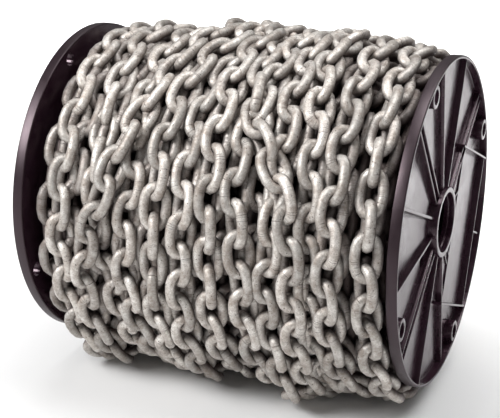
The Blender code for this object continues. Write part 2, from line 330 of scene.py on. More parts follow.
def mottle_group():
    """Cloudy mask from two sizes of noise, shared by the zinc and the plastic."""
    tree, given, result = new_tree(
        "cloudy_mottle", "ShaderNodeTree", ("Mask", "Float"),
        {"Vector": "Vector", "Size": 60.0, "Low": 0.35, "High": 0.65})
    broad = noise(tree, given["Vector"], given["Size"], 4.0, 0.55)
    fine = noise(tree, given["Vector"], times(tree, given["Size"], 4.3), 3.0, 0.6)
    both = calculate(tree, "MULTIPLY_ADD", fine, 0.35, times(tree, broad, 0.65))
    tree.links.new(map_range(tree, both, given["Low"], given["High"]), result["Mask"])
    return tree


def speck_group():
    """Small round specks, in a given share of the pattern's cells."""
    tree, given, result = new_tree(
        "small_specks", "ShaderNodeTree", ("Mask", "Float"),
        {"Vector": "Vector", "Size": 400.0, "Radius": 0.18, "Share": 0.3})
    cells = add_node(tree, "ShaderNodeTexVoronoi",
                     {"Vector": given["Vector"], "Scale": given["Size"], "Randomness": 1.0})
    near = map_range(tree, cells.outputs["Distance"], given["Radius"],
                     times(tree, given["Radius"], 0.4))
    pick = output(tree, "ShaderNodeSeparateColor", {0: cells.outputs["Color"]})
    chosen = calculate(tree, "LESS_THAN", pick, given["Share"])
    tree.links.new(times(tree, near, chosen), result["Mask"])
    return tree


def crack_group():
    """Short dark lines across a wire, at uneven places along it."""
    tree, given, result = new_tree(
        "cross_cracks", "ShaderNodeTree", ("Mask", "Float"),
        {"Vector": "Vector", "Along": 0.0, "Offset": 0.0, "Count": 26.0, "Thickness": 0.012})
    waver = times(tree, noise(tree, given["Vector"], 160.0, 2.0), 0.9)
    shift = calculate(tree, "MULTIPLY_ADD", given["Offset"], 90.0, waver)
    bent = calculate(tree, "MULTIPLY_ADD", given["Along"], given["Count"], shift)
    bands = output(tree, "ShaderNodeTexNoise", {"W": bent, "Scale": 1.0, "Detail": 1.0},
                   noise_dimensions="1D")
    off_middle = calculate(tree, "ABSOLUTE", calculate(tree, "SUBTRACT", bands, 0.5))
    thin = map_range(tree, off_middle, given["Thickness"], 0.0)
    shown = map_range(tree, noise(tree, given["Vector"], 70.0, 2.0), 0.50, 0.58)
    tree.links.new(times(tree, thin, shown), result["Mask"])
    return tree


def blend_colors(tree, factor, first, second):
    node = add_node(tree, "ShaderNodeMix", {0: factor, 6: first, 7: second}, data_type="RGBA")
    return node.outputs[2]


def use_group(tree, group, place, values):
    """Mask of a shared effect, placed in a material with the material's own values."""
    return output(tree, "ShaderNodeGroup", {"Vector": place, **values}, node_tree=group)


def start_material(name):
    material = bpy.data.materials.new(name)
    material.use_nodes = True
    return material, material.node_tree, material.node_tree.nodes["Principled BSDF"]


def bump(tree, strength, distance, height):
    return output(tree, "ShaderNodeBump",
                  {"Strength": strength, "Distance": distance, "Height": height})


def zinc_material(settings, groups):
    """Hot-dip galvanised wire: lumpy, mottled and pitted, with painted shade in and under the links
    and deep in the winding.
    """
    material, tree, shader = start_material("galvanised_wire")
    place = add_node(tree, "ShaderNodeTexCoord").outputs["Object"]
    tone, along, inner, under, sunk = (
        add_node(tree, "ShaderNodeAttribute", attribute_name=name).outputs["Fac"]
        for name in ("tone", "along", "inner", "under", "sunk"))
    clouds = use_group(tree, groups["mottle"], place, {"Size": 95.0, "Low": 0.36, "High": 0.62})
    pits = use_group(tree, groups["specks"], place,
                     {"Size": 420.0, "Radius": 0.30, "Share": 0.16})
    cracks = use_group(tree, groups["cracks"], place, {"Along": along, "Offset": tone})

    base = blend_colors(tree, clouds, (*settings.zinc, 1.0), (*settings.zinc_dark, 1.0))
    brightness = calculate(tree, "MULTIPLY_ADD", tone, TONE_SPREAD, DARKEST_TONE)
    toned = output(tree, "ShaderNodeHueSaturation",
                   {"Hue": 0.5, "Saturation": 1.0, "Value": brightness, "Color": base})
    speckle = map_range(tree, noise(tree, place, 900.0, 3.0, 0.7), 0.50, 0.66)
    grained = blend_colors(tree, times(tree, speckle, 0.45), toned, DULL_GRAIN)
    pitted = blend_colors(tree, times(tree, pits, 0.8), grained, PIT_DIRT)
    cracked = blend_colors(tree, times(tree, cracks, 0.8), pitted, CRACK_DIRT)
    # Painted shade: hidden links darken inwards from the axis, and every link darkens on its inside
    # and on its faces towards the reel
    depth_shade = map_range(tree, vector_math(tree, "LENGTH", off_axis(tree, place)),
                      SHADE_START_REACH, FULL_SHADE_REACH)
    deep = times(tree, depth_shade, times(tree, sunk, 0.9))
    link_shade = calculate(tree, "MAXIMUM", times(tree, inner, 0.5), times(tree, under, 0.9))
    lumps = noise(tree, place, 260.0, 4.0, 0.6)
    dents = calculate(tree, "MAXIMUM", pits, cracks)
    set_inputs(tree, shader, {
        "Base Color": blend_colors(tree, calculate(tree, "MAXIMUM", link_shade, deep), cracked, PAINTED_SHADE),
        "Roughness": map_range(tree, clouds, 0.0, 1.0, 0.46, 0.66), "Metallic": 0.65,
        "Normal": bump(tree, 0.55, 0.0008, calculate(tree, "MULTIPLY_ADD", dents, -0.6, lumps))})
    return material


def plastic_material(settings, groups):
    """Black moulded plastic: satin, with faint flow marks, grain, handling dust and dull rims."""
    material, tree, shader = start_material("moulded_plastic")
    place = add_node(tree, "ShaderNodeTexCoord").outputs["Object"]
    clouds = use_group(tree, groups["mottle"], place, {"Size": 38.0, "Low": 0.42, "High": 0.66})
    dust = use_group(tree, groups["specks"], place,
                     {"Size": 330.0, "Radius": 0.16, "Share": 0.10})
    rim = map_range(tree, vector_math(tree, "LENGTH", off_axis(tree, place)),
                    FLANGE_RADIUS - RIM_BAND[0], FLANGE_RADIUS - RIM_BAND[1])
    base = blend_colors(tree, clouds, (*settings.plastic, 1.0), FLOW_MARK)
    dusted = blend_colors(tree, times(tree, dust, 0.4), base, DUST)
    rough = map_range(tree, clouds, 0.0, 1.0, 0.15, 0.27)
    set_inputs(tree, shader, {
        "Base Color": blend_colors(tree, times(tree, rim, 0.8), dusted, RIM_BLACK),
        "Roughness": calculate(tree, "MULTIPLY_ADD", rim, 0.20, rough),
        "Specular IOR Level": 0.6, "Specular Tint": (1.0, 0.80, 0.88, 1.0),
        "Normal": bump(tree, 0.12, 0.0003, noise(tree, place, 900.0, 3.0, 0.6))})
    return material


def finishes():
    """Both finishes, made once and shared by all the pieces."""
    if "galvanised_wire" not in bpy.data.materials:
        groups = {"mottle": mottle_group(), "specks": speck_group(), "cracks": crack_group()}
        zinc_material(bpy.context.scene.reel_chain, groups)
        plastic_material(bpy.context.scene.reel_spool, groups)
    return bpy.data.materials["galvanised_wire"], bpy.data.materials["moulded_plastic"]


# The chain

def wave(seed, amount, degrees):
    """A smooth, repeatable unevenness along the winding, by the angle wound so far."""
    source = np.random.default_rng(seed)
    rates = source.uniform(*WAVE_RATES, WAVE_COUNT)
    phases = source.uniform(0.0, math.tau, WAVE_COUNT)
    wound = np.radians(degrees)
    total = sum(np.sin(rate * wound + phase) for rate, phase in zip(rates, phases))
    return amount * total / WAVE_PEAK


def smooth(values, half_width):
    window = np.hanning(2 * half_width + 1)
    padded = np.pad(values, half_width, mode="edge")
    return np.convolve(padded, window / window.sum(), mode="valid")


def outer_rows():
    """Knots of all the outer strands on one unbroken scale of degrees wound down from the top."""
    rows = []
    for index, (_, rest, strand) in enumerate(STRANDS):
        first, last = strand[0], strand[-1]
        points = [(STRAND_START,) + first[1:]] + list(strand)
        if index + 1 < len(STRANDS):
            ahead = STRANDS[index + 1][2][0][1]
            behind = PASSED_LIFT if index in PASSED_OVER else 0.0
            points += [(STRAND_END - BACK_EASE, last[1]),
                       ((STRAND_END + STRAND_BACK) / 2, (last[1] + ahead) / 2, behind),
                       (STRAND_BACK + BACK_EASE, ahead)]
        else:
            points += [(STRAND_END - past, last[1] + aside, lift)
                       for past, aside, lift in TUCKED_END]
        for row in points:
            angle, x, lift, twist = (tuple(row) + (0.0, 0.0))[:4]
            rows.append((angle - 360.0 * index, x / 1000, OUTER_LEVEL, 1.0, lift / 1000, twist,
                         rest / 1000))
    return rows


def chain_path(settings):
    """Columns of the whole chain from the barrel out, at even steps of the angle wound."""
    rows = outer_rows()
    angle = rows[0][0] + 360.0 * len(INNER_LAYERS) * (INNER_TURNS + CLIMB_TURNS)
    hidden = (0.0, 0.0, HIDDEN_REST)
    knots = []
    for first_radius, last_radius, begin, end, first_share, last_share in INNER_LAYERS:
        knots.append((angle, begin, first_radius, first_share, *hidden))
        angle -= 360.0 * INNER_TURNS
        knots.append((angle, end, last_radius, last_share, *hidden))
        angle -= 360.0 * CLIMB_TURNS
    knots += [(rows[0][0] + before, *knot, *hidden) for before, *knot in CROSSING]
    table = np.array(knots + rows)[::-1]
    angles = np.arange(table[-1, 0], table[0, 0], -STEP)
    x, radius, share, lift, twist, rest = (np.interp(angles, table[:, 0], table[:, column])
                                           for column in range(1, 7))
    x, lift, twist = (smooth(column, PLACE_EASE) for column in (x, lift, twist))
    outer = angles < rows[0][0] + 1.0

    x = x + wave(settings.seed + 1, PLACE_WAVE, angles)
    twist = twist + wave(settings.seed + 2, TWIST_WAVE, angles)
    arm = (settings.width - settings.wire) / 2
    steepest = np.minimum(settings.lean + np.radians(np.abs(twist)), math.pi / 2)
    extent = arm * np.sin(steepest) + settings.wire / 2
    hills = np.array(HILLS) / 1000
    hill = np.interp(x, hills[:, 0], hills[:, 1])
    level = np.where(outer, np.minimum(hill + lift, MOST_REACH) - extent - REACH_GAP,
                     radius + share * (hill - LEVEL_REACH / 1000))
    level = level + wave(settings.seed + 3, LEVEL_WAVE, angles)
    return x, smooth(level, LEVEL_EASE), twist, extent, rest, angles, outer


def hang(from_bottom):
    """Share of a turn's slack at an angle from straight down."""
    return np.where(from_bottom < SAG_SPAN,
                    0.5 + 0.5 * np.cos(math.pi * from_bottom / SAG_SPAN), 0.0)


def place_path(settings):
    """The path in space, slack turns hung out below and laid flat on the floor."""
    x, level, twist, extent, rest, angles, outer = chain_path(settings)
    theta = np.radians(angles)
    from_bottom = np.abs((theta + math.pi / 2 + math.pi) % math.tau - math.pi)
    floor = extent + FLOOR_GAP
    leave = np.arctan2(rest, AXIS.z - floor)
    usual = np.where(outer, level, OUTER_LEVEL)
    slack = ((AXIS.z - floor) / np.cos(leave) / usual - 1) / hang(leave)
    share = np.where(outer, 1.0, np.where(angles < LAST_HIDDEN, HIDDEN_SLACK, 0.0))
    level = level * (1 + share * slack * hang(from_bottom))
    z = level * np.sin(theta) + AXIS.z
    z = np.where(outer, np.maximum(z, floor), z)
    points = np.stack((x - INNER_HALF, -level * np.cos(theta), z), axis=1)
    return points, angles, twist, outer


def count_links(settings, points, angles):
    """How many links have passed at each point, so that left-leaning links fall where seen."""
    steps = np.linalg.norm(np.diff(points, axis=0), axis=1)
    total = np.concatenate(([0.0], np.cumsum(steps))) / settings.pitch
    marks, counts = [0.0], [0.0]
    for index, (phase, _, _) in enumerate(STRANDS):
        before, here, after = (
            float(np.interp(360.0 * index - angle, -angles, total))
            for angle in (STRAND_START - PHASE_MARGIN, phase, STRAND_END + PHASE_MARGIN))
        free = counts[-1] + here - marks[-1]
        wanted = 2.0 * round((free - 0.5) / 2.0) + 0.5
        marks += [before, here, after]
        counts += [wanted - (here - before), wanted, wanted + (after - here)]
    counts.append(counts[-1] + total[-1] - marks[-1])
    marks.append(total[-1])
    return np.interp(total, marks, counts)


def link_edges(settings):
    """Joints of the chain, and for each link its outward direction, roll, layer and angle."""
    points, angles, twist, outer = place_path(settings)
    passed = count_links(settings, points, angles)
    joints = np.arange(math.ceil(passed[0]), math.floor(passed[-1]) + 1)
    sample = np.arange(len(passed))
    at = np.interp(joints, passed, sample)
    spots = np.stack([np.interp(at, sample, points[:, axis]) for axis in range(3)], axis=1)
    middle = (at[:-1] + at[1:]) / 2
    wound = np.interp(middle, sample, angles)
    theta = np.radians(wound)
    side = np.where(joints[:-1] % 2 < 0.5, -1.0, 1.0)
    roll = np.radians(np.interp(middle, sample, twist)) + settings.lean * side
    outward = np.stack((np.zeros_like(theta), -np.cos(theta), np.sin(theta)), axis=1)
    return spots, outward, roll, np.interp(middle, sample, outer.astype(float)), wound


def path_mesh(name, spots, outward, roll, keep):
    """Loose edges, one for each link that is kept, with its direction and roll."""
    chosen = np.flatnonzero(keep)
    mesh = bpy.data.meshes.new(name)
    vertices = np.concatenate([spots[chosen], spots[chosen + 1]])
    edges = [(index, index + len(chosen)) for index in range(len(chosen))]
    mesh.from_pydata(vertices.tolist(), edges, [])
    mesh.attributes.new("outward", "FLOAT_VECTOR", "EDGE").data.foreach_set(
        "vector", outward[chosen].astype(np.float32).ravel())
    mesh.attributes.new("roll", "FLOAT", "EDGE").data.foreach_set(
        "value", roll[chosen].astype(np.float32))
    return mesh


def stored(tree, geometry, name, value, domain="POINT"):
    """Geometry that keeps a number under a name, for the zinc to read."""
    return output(tree, "GeometryNodeStoreNamedAttribute",
                  {"Geometry": geometry, "Name": name, "Value": value},
                  data_type="FLOAT", domain=domain)


def path_value(tree, name, data_type):
    """What the path keeps under a name."""
    return output(tree, "GeometryNodeInputNamedAttribute", {"Name": name}, data_type=data_type)


def random_value(tree, seed, lowest, highest):
    node = add_node(tree, "FunctionNodeRandomValue", {2: lowest, 3: highest, "Seed": seed},
                    data_type="FLOAT")
    return node.outputs[1]


def circle(tree, resolution, radius):
    return output(tree, "GeometryNodeCurvePrimitiveCircle",
                  {"Resolution": resolution, "Radius": radius}, mode="RADIUS")


def squared(tree, value, length):
    """A circle's coordinate pushed outwards, which straightens the link's sides."""
    size = calculate(tree, "POWER", calculate(tree, "ABSOLUTE", value), SQUARENESS)
    return times(tree, times(tree, size, calculate(tree, "SIGN", value)), length)


def welded_link(tree, given):
    """One link with its length along X, and masks of how far along and inside it a place is."""
    half_wire = times(tree, given["Wire"], 0.5)
    half_wide = calculate(tree, "SUBTRACT", times(tree, given["Width"], 0.5), half_wire)
    half_long = calculate(tree, "MULTIPLY_ADD", given["Pitch"], 0.5, half_wire)
    position = output(tree, "GeometryNodeInputPosition")
    x, y, _ = add_node(tree, "ShaderNodeSeparateXYZ", {0: position}).outputs
    oval = output(tree, "ShaderNodeCombineXYZ",
                  {"X": squared(tree, x, half_long), "Y": squared(tree, y, half_wide)})
    centre_line = output(tree, "GeometryNodeSetPosition",
                         {"Geometry": circle(tree, given["Points Along"], 1.0), "Position": oval})
    turn = output(tree, "GeometryNodeSplineParameter")
    along = calculate(tree, "ABSOLUTE", calculate(tree, "MULTIPLY_ADD", turn, 2.0, -1.0))
    weld_side = calculate(tree, "GREATER_THAN", y, 0.0)
    skin = output(tree, "GeometryNodeCurveToMesh",
                  {"Curve": stored(tree, centre_line, "along", along),
                   "Profile Curve": circle(tree, given["Points Around"], half_wire),
                   "Scale": calculate(tree, "MULTIPLY_ADD", weld_side, WELD_SWELL, 1.0)})
    from_middle = calculate(
        tree, "ADD", calculate(tree, "POWER", calculate(tree, "DIVIDE", x, half_long), 2.0),
        calculate(tree, "POWER", calculate(tree, "DIVIDE", y, half_wide), 2.0))
    # the 'inner' mask darkens the inside of a link with painted shade
    lined = stored(tree, skin, "inner", map_range(tree, from_middle, *LINK_INSIDE))
    return output(tree, "GeometryNodeSetShadeSmooth", {"Geometry": lined})


def link_tree():
    """Put one welded link on every edge of a path."""
    tree, given, result = new_tree(
        "chain_links", "GeometryNodeTree", ("Geometry", "Geometry"),
        {"Geometry": "Geometry", "Wire": 0.008, "Width": 0.026, "Pitch": 0.0245,
         "Lean Jitter": 0.1, "Points Along": 16, "Points Around": 8, "Seed": 7, "Sunk": 0.0,
         "Finish": "Material"})
    ends = add_node(tree, "GeometryNodeInputMeshEdgeVertices").outputs
    capture = tree.nodes.new("GeometryNodeCaptureAttribute")
    capture.domain = "EDGE"
    capture.capture_items.new("VECTOR", "Ahead")
    tree.links.new(given["Geometry"], capture.inputs["Geometry"])
    tree.links.new(vector_math(tree, "SUBTRACT", ends["Position 2"], ends["Position 1"]),
                   capture.inputs["Ahead"])
    spots = output(tree, "GeometryNodeMeshToPoints", {"Mesh": capture.outputs["Geometry"]},
                   mode="EDGES")
    facing = output(tree, "FunctionNodeAxesToRotation",
                    {"Primary Axis": capture.outputs["Ahead"],
                     "Secondary Axis": path_value(tree, "outward", "FLOAT_VECTOR")},
                    primary_axis="X", secondary_axis="Z")
    jitter = random_value(tree, given["Seed"], times(tree, given["Lean Jitter"], -1.0),
                          given["Lean Jitter"])
    lean = output(tree, "FunctionNodeAxisAngleToRotation",
                  {"Axis": (1.0, 0.0, 0.0),
                   "Angle": calculate(tree, "ADD", path_value(tree, "roll", "FLOAT"), jitter)})
    pose = output(tree, "FunctionNodeRotateRotation", {"Rotation": facing, "Rotate By": lean},
                  rotation_space="LOCAL")
    links = output(tree, "GeometryNodeInstanceOnPoints",
                   {"Points": spots, "Instance": welded_link(tree, given), "Rotation": pose})
    tone = random_value(tree, calculate(tree, "ADD", given["Seed"], 1.0), 0.0, 1.0)
    toned = stored(tree, links, "tone", tone, "INSTANCE")
    # 'sunk' lets the hidden layers take painted shade that deepens towards the axis
    placed = stored(tree, toned, "sunk", given["Sunk"], "INSTANCE")
    real = output(tree, "GeometryNodeRealizeInstances", {"Geometry": placed})
    position = output(tree, "GeometryNodeInputPosition")
    away = vector_math(tree, "NORMALIZE", off_axis(tree, position))
    faced = vector_math(tree, "DOT_PRODUCT", away, output(tree, "GeometryNodeInputNormal"))
    # the 'under' mask darkens the faces towards the reel with painted shade
    bare = stored(tree, real, "under", map_range(tree, faced, *LINK_BELOW))
    for spare in ("outward", "roll"):
        bare = output(tree, "GeometryNodeRemoveAttribute", {"Geometry": bare, "Name": spare})
    finish_tree(tree, bare, given["Finish"], result)
    return tree


class REEL_OT_chain(bpy.types.Operator):
    """Wind the whole chain, link by link, from the barrel out"""
    bl_idname = "reel.chain"
    bl_label = "Wind the chain"

    def execute(self, context):
        settings = context.scene.reel_chain
        zinc, _ = finishes()
        spots, outward, roll, outer, angles = link_edges(settings)
        deep = angles >= LAST_HIDDEN
        # Name, links, nodes that it stands for, whether it is sunk (darkened by painted shade with
        # depth), points along and round a link
        layers = (
            ("chain_outer_turns", outer >= 0.5, TURN_NODES, 0.0, 16, 8),
            ("chain_second_layer", (outer < 0.5) & ~deep, ["chain_core"], 1.0, 14, 7),
            ("chain_deep_layers", deep, [], 1.0, 10, 5),
        )
        tree = link_tree()
        for name, keep, replaced, sunk, along, around in layers:
            edges = path_mesh(name, spots, outward, roll, keep)
            mesh = grow(name, edges, tree, {
                "Wire": settings.wire, "Width": settings.width, "Pitch": settings.pitch,
                "Lean Jitter": settings.lean_jitter, "Points Along": along,
                "Points Around": around, "Seed": settings.seed, "Sunk": sunk, "Finish": zinc})
            add_piece(name, mesh, replaced)
        return {"FINISHED"}


# The spool

SPOKE_ANGLES = [7.0 + 30.0 * index for index in range(12)]
TWIN_SPOKES = (1, 4, 7, 10)
TWIN_OFFSET = 0.0040
THIN_SPOKE = 0.0020              # thickness of the twin and the short ones
SHORT_REACH = math.radians(45.0)    # spokes this close to the label panel end at it
BOSS_ANGLES = [22.0 + 90.0 * index for index in range(4)]
BOSS_CIRCLE = 0.1298
BOSS_RADIUS = 0.0095
BOSS_DRAFT = 0.0004              # how much wider a boss is at its foot
BOSS_HOLE = 0.0060
BOSS_TOP = FLANGE_DEPTH - 0.0002
PLATE_HOLE_CIRCLE = 0.050
PLATE_HOLE = 0.0055
MARK_ANGLES = (120.6, 193.4)     # round marks that the mould's ejector pins leave
MARK_CIRCLE = 0.124
MARK_RADIUS = 0.0050
MARK_WIDTH = 0.0008
MARK_HEIGHT = 0.0003
HUB_RADIUS = 0.0298
BORE_RADIUS = 0.0255
BORE_LIP_RADIUS = 0.0240
BORE_LIP_DEPTH = 0.0045
PANEL_ANGLE = 337.0
PANEL_NEAR = 0.0512
PANEL_FAR = 0.1148
PANEL_HALF_WIDTH = 0.0686
PANEL_TOP = 0.0032
FRAME_NEAR = 0.028
FRAME_RIB = 0.0022               # thickness of the ribs round the panel
FRAME_TOP = FLANGE_DEPTH - 0.0004
CHORD_TOP = 0.0080
STUB_TOP = 0.0078
RIB_FOOT = 1.12                  # a rib's width at foot and top, in shares of its thickness
RIB_HEAD = 0.86
RIB_EDGE = 0.00035
FLANGE_SIDES = 160
ROUND = 0.0005                   # radius of a moulded edge
BURY = 0.0010                    # how far a rib runs into what carries it
SHARP_ANGLE = math.radians(32.0)
END_ON = Matrix(((0, 0, 1, 0), (1, 0, 0, 0), (0, 1, 0, 0), (0, 0, 0, 1)))    # Z up to +X


def turned(profile, sides):
    """Turn a closed profile of (radius, height) points about Z into a mesh builder."""
    builder = bmesh.new()
    rings = []
    for step in range(sides):
        angle = math.tau * step / sides
        rings.append([builder.verts.new((radius * math.cos(angle), radius * math.sin(angle),
                                         height)) for radius, height in profile])
    for here, ahead in zip(rings, rings[1:] + rings[:1]):
        for side in range(len(here)):
            after = (side + 1) % len(here)
            builder.faces.new((here[side], here[after], ahead[after], ahead[side]))
    return builder


def arc(centre, radius, start, end, steps=3):
    """Points of a rounded edge, from one angle to another in degrees."""
    angles = [math.radians(start + (end - start) * step / steps) for step in range(steps + 1)]
    return [(centre[0] + radius * math.cos(angle), centre[1] + radius * math.sin(angle))
            for angle in angles]


def polar(degrees, distance, sideways=0.0):
    angle = math.radians(degrees)
    return Vector((distance * math.cos(angle) - sideways * math.sin(angle),
                   distance * math.sin(angle) + sideways * math.cos(angle), 0.0))


def finish_builder(name, builder):
    bmesh.ops.recalc_face_normals(builder, faces=builder.faces)
    mesh = bpy.data.meshes.new(name)
    builder.to_mesh(mesh)
    builder.free()
    return mesh


def flange_disc(settings):
    """Plate, rim and hub with rounded edges."""
    rim_in = FLANGE_RADIUS - settings.rim_wall
    top = FLANGE_DEPTH - ROUND
    foot = settings.plate + ROUND
    outer = 2 * ROUND
    profile = [(BORE_LIP_RADIUS, ROUND)]
    profile += arc((BORE_LIP_RADIUS + ROUND, BORE_LIP_DEPTH - ROUND), ROUND, 180, 90)
    profile += [(BORE_RADIUS, BORE_LIP_DEPTH)]
    profile += arc((BORE_RADIUS + ROUND, top), ROUND, 180, 90)
    profile += arc((HUB_RADIUS - ROUND, top), ROUND, 90, 0)
    profile += arc((HUB_RADIUS + outer, foot), ROUND, 180, 270)
    profile += arc((rim_in - outer, foot), ROUND, 270, 360)
    profile += arc((rim_in + ROUND, top), ROUND, 180, 90)
    profile += arc((FLANGE_RADIUS - outer, FLANGE_DEPTH - outer), outer, 90, 0, 4)
    profile += arc((FLANGE_RADIUS - outer, outer), outer, 0, -90, 4)
    profile += [(BORE_LIP_RADIUS + ROUND, 0.0)]
    return finish_builder("flange_disc", turned(profile, FLANGE_SIDES))


def rib_tree():
    """Sweep a tapered, rounded rib section along every edge of a plan."""
    tree, given, result = new_tree(
        "moulded_ribs", "GeometryNodeTree", ("Geometry", "Geometry"),
        {"Geometry": "Geometry", "Foot": 0.003, "Top": 0.0022, "Height": 0.006, "Edge": 0.0004,
         "Finish": "Material"})
    corners = {}
    for width, side, height in (("Foot", -0.5, 0.0), ("Foot", 0.5, 0.0),
                                ("Top", 0.5, 1.0), ("Top", -0.5, 1.0)):
        corners[f"Point {len(corners) + 1}"] = output(
            tree, "ShaderNodeCombineXYZ", {"X": times(tree, given[width], side),
                                           "Y": times(tree, given["Height"], -height)})
    outline = output(tree, "GeometryNodeCurvePrimitiveQuadrilateral", corners, mode="POINTS")
    eased = output(tree, "GeometryNodeFilletCurve",
                   {"Curve": outline, "Count": 2, "Radius": given["Edge"]}, mode="POLY")
    lines = output(tree, "GeometryNodeMeshToCurve", {"Mesh": given["Geometry"]})
    upright = output(tree, "GeometryNodeSetCurveNormal", {"Curve": lines}, mode="Z_UP")
    ribs = output(tree, "GeometryNodeCurveToMesh",
                  {"Curve": upright, "Profile Curve": eased, "Fill Caps": True})
    real = output(tree, "GeometryNodeRealizeInstances", {"Geometry": ribs})
    finish_tree(tree, real, given["Finish"], result)
    return tree


def rib_plan(lines, level):
    """Loose edges for the ribs of one kind, at the height of their feet."""
    mesh = bpy.data.meshes.new("rib_plan")
    vertices = [tuple(point + Vector((0.0, 0.0, level))) for line in lines for point in line]
    mesh.from_pydata(vertices, [(index, index + 1) for index in range(0, len(vertices), 2)], [])
    return mesh


def spoke_lines(settings):
    """Single and twin spokes, and the short, low ones that end at the label panel."""
    single, twin, short = [], [], []
    rim_end = FLANGE_RADIUS - settings.rim_wall + BURY
    for index, degrees in enumerate(SPOKE_ANGLES):
        to_panel = math.cos(math.radians(degrees - PANEL_ANGLE))
        sides, kind, far = (0.0,), single, rim_end
        if index in TWIN_SPOKES:
            sides, kind = (-TWIN_OFFSET, TWIN_OFFSET), twin
        if to_panel > math.cos(SHORT_REACH):
            kind, far = short, (PANEL_NEAR + BURY) / to_panel
        for side in sides:
            kind.append((polar(degrees, HUB_RADIUS - BURY, side), polar(degrees, far, side)))
    return single, twin, short


def panel_lines(settings):
    """The tall ribs at both sides of the label panel, and the rib over it with its stub."""
    def at(distance, sideways=0.0):
        return polar(PANEL_ANGLE, distance, sideways)

    rim_in = FLANGE_RADIUS - settings.rim_wall
    reach = math.sqrt(rim_in ** 2 - PANEL_HALF_WIDTH ** 2)
    sides = [(at(FRAME_NEAR, side), at(reach, side))
             for side in (-PANEL_HALF_WIDTH, PANEL_HALF_WIDTH)]
    chord = [(at(PANEL_FAR, -PANEL_HALF_WIDTH), at(PANEL_FAR, PANEL_HALF_WIDTH))]
    stub = [(at(PANEL_FAR), at(rim_in + BURY))]
    return sides, chord, stub


def panel_mesh(settings):
    middle = (PANEL_NEAR + PANEL_FAR) / 2
    builder = bmesh.new()
    size = (PANEL_FAR - PANEL_NEAR, 2 * PANEL_HALF_WIDTH, PANEL_TOP - settings.plate + BURY)
    place = (Matrix.Rotation(math.radians(PANEL_ANGLE), 4, "Z")
             @ Matrix.Translation((middle, 0.0, PANEL_TOP - size[2] / 2))
             @ Matrix.Diagonal((*size, 1.0)))
    bmesh.ops.create_cube(builder, size=1.0, matrix=place)
    upper = [edge for edge in builder.edges
             if all(vert.co.z > PANEL_TOP - BURY / 2 for vert in edge.verts)]
    bmesh.ops.bevel(builder, geom=upper, offset=ROUND, segments=2, affect="EDGES")
    return finish_builder("label_panel", builder)


def rods(name, angles, circle_radius, profile, sides):
    """Turned bodies on a circle round the hub."""
    builder = bmesh.new()
    for degrees in angles:
        piece = turned(profile, sides)
        bmesh.ops.translate(piece, verts=piece.verts, vec=polar(degrees, circle_radius))
        mesh = bpy.data.meshes.new("rod")
        piece.to_mesh(mesh)
        piece.free()
        builder.from_mesh(mesh)
        bpy.data.meshes.remove(mesh)
    bmesh.ops.remove_doubles(builder, verts=builder.verts, dist=1e-7)
    return finish_builder(name, builder)


def boss_meshes(settings):
    """The bosses and marks that are added to the plate, and the holes that are cut in it."""
    foot = settings.plate - BURY
    solid = [(0.0, foot), (BOSS_RADIUS + BOSS_DRAFT, foot)]
    solid += arc((BOSS_RADIUS - ROUND, BOSS_TOP - ROUND), ROUND, 0, 90)
    solid += [(0.0, BOSS_TOP)]
    hole = [(0.0, -BURY), (BOSS_HOLE, -BURY), (BOSS_HOLE, BOSS_TOP - ROUND),
            (BOSS_HOLE + 1.6 * ROUND, BOSS_TOP + ROUND), (0.0, BOSS_TOP + ROUND)]
    small = [(0.0, -BURY), (PLATE_HOLE, -BURY), (PLATE_HOLE, FLANGE_DEPTH), (0.0, FLANGE_DEPTH)]
    mark_top = settings.plate + MARK_HEIGHT
    mark = [(MARK_RADIUS, foot), (MARK_RADIUS, mark_top),
            (MARK_RADIUS + MARK_WIDTH, mark_top), (MARK_RADIUS + MARK_WIDTH, foot)]
    return ([rods("bosses", BOSS_ANGLES, BOSS_CIRCLE, solid, 40),
             rods("mould_marks", MARK_ANGLES, MARK_CIRCLE, mark, 32)],
            [rods("boss_holes", BOSS_ANGLES, BOSS_CIRCLE, hole, 32),
             rods("plate_holes", BOSS_ANGLES, PLATE_HOLE_CIRCLE, small, 28)])


def flange_mesh(settings, material):
    """Join all parts of the moulding into one closed body, outer face up."""
    tree = rib_tree()
    single, twin, short = spoke_lines(settings)
    sides, chord, stub = panel_lines(settings)
    foot = settings.plate - BURY

    def ribs(name, lines, thickness, top):
        return grow(name, rib_plan(lines, foot), tree,
                    {"Foot": thickness * RIB_FOOT, "Top": thickness * RIB_HEAD,
                     "Height": top - foot, "Edge": RIB_EDGE, "Finish": material})

    raised, cuts = boss_meshes(settings)
    additions = [ribs("single_spokes", single, settings.rib_thickness, settings.rib_height),
                 ribs("twin_spokes", twin, THIN_SPOKE, settings.rib_height),
                 ribs("short_spokes", short, THIN_SPOKE, PANEL_TOP),
                 panel_mesh(settings),
                 ribs("panel_sides", sides, FRAME_RIB, FRAME_TOP),
                 ribs("panel_chord", chord, FRAME_RIB, CHORD_TOP),
                 ribs("panel_stub", stub, FRAME_RIB, STUB_TOP)] + raised
    body = add_object("flange_body", flange_disc(settings))
    helpers = []
    for mesh in additions + cuts:
        helper = add_object(mesh.name, mesh)
        helpers.append(helper)
        modifier = body.modifiers.new(mesh.name, "BOOLEAN")
        modifier.object = helper
        modifier.operation = "UNION" if mesh in additions else "DIFFERENCE"
        modifier.solver = "EXACT"
    evaluated = body.evaluated_get(bpy.context.evaluated_depsgraph_get())
    mesh = bpy.data.meshes.new_from_object(evaluated)
    for helper in helpers + [body]:
        bpy.data.objects.remove(helper, do_unlink=True)
    mesh.materials.clear()
    mesh.materials.append(material)
    mesh.polygons.foreach_set("material_index", [0] * len(mesh.polygons))
    mesh.polygons.foreach_set("use_smooth", [True] * len(mesh.polygons))
    mesh.set_sharp_from_angle(angle=SHARP_ANGLE)
    return mesh


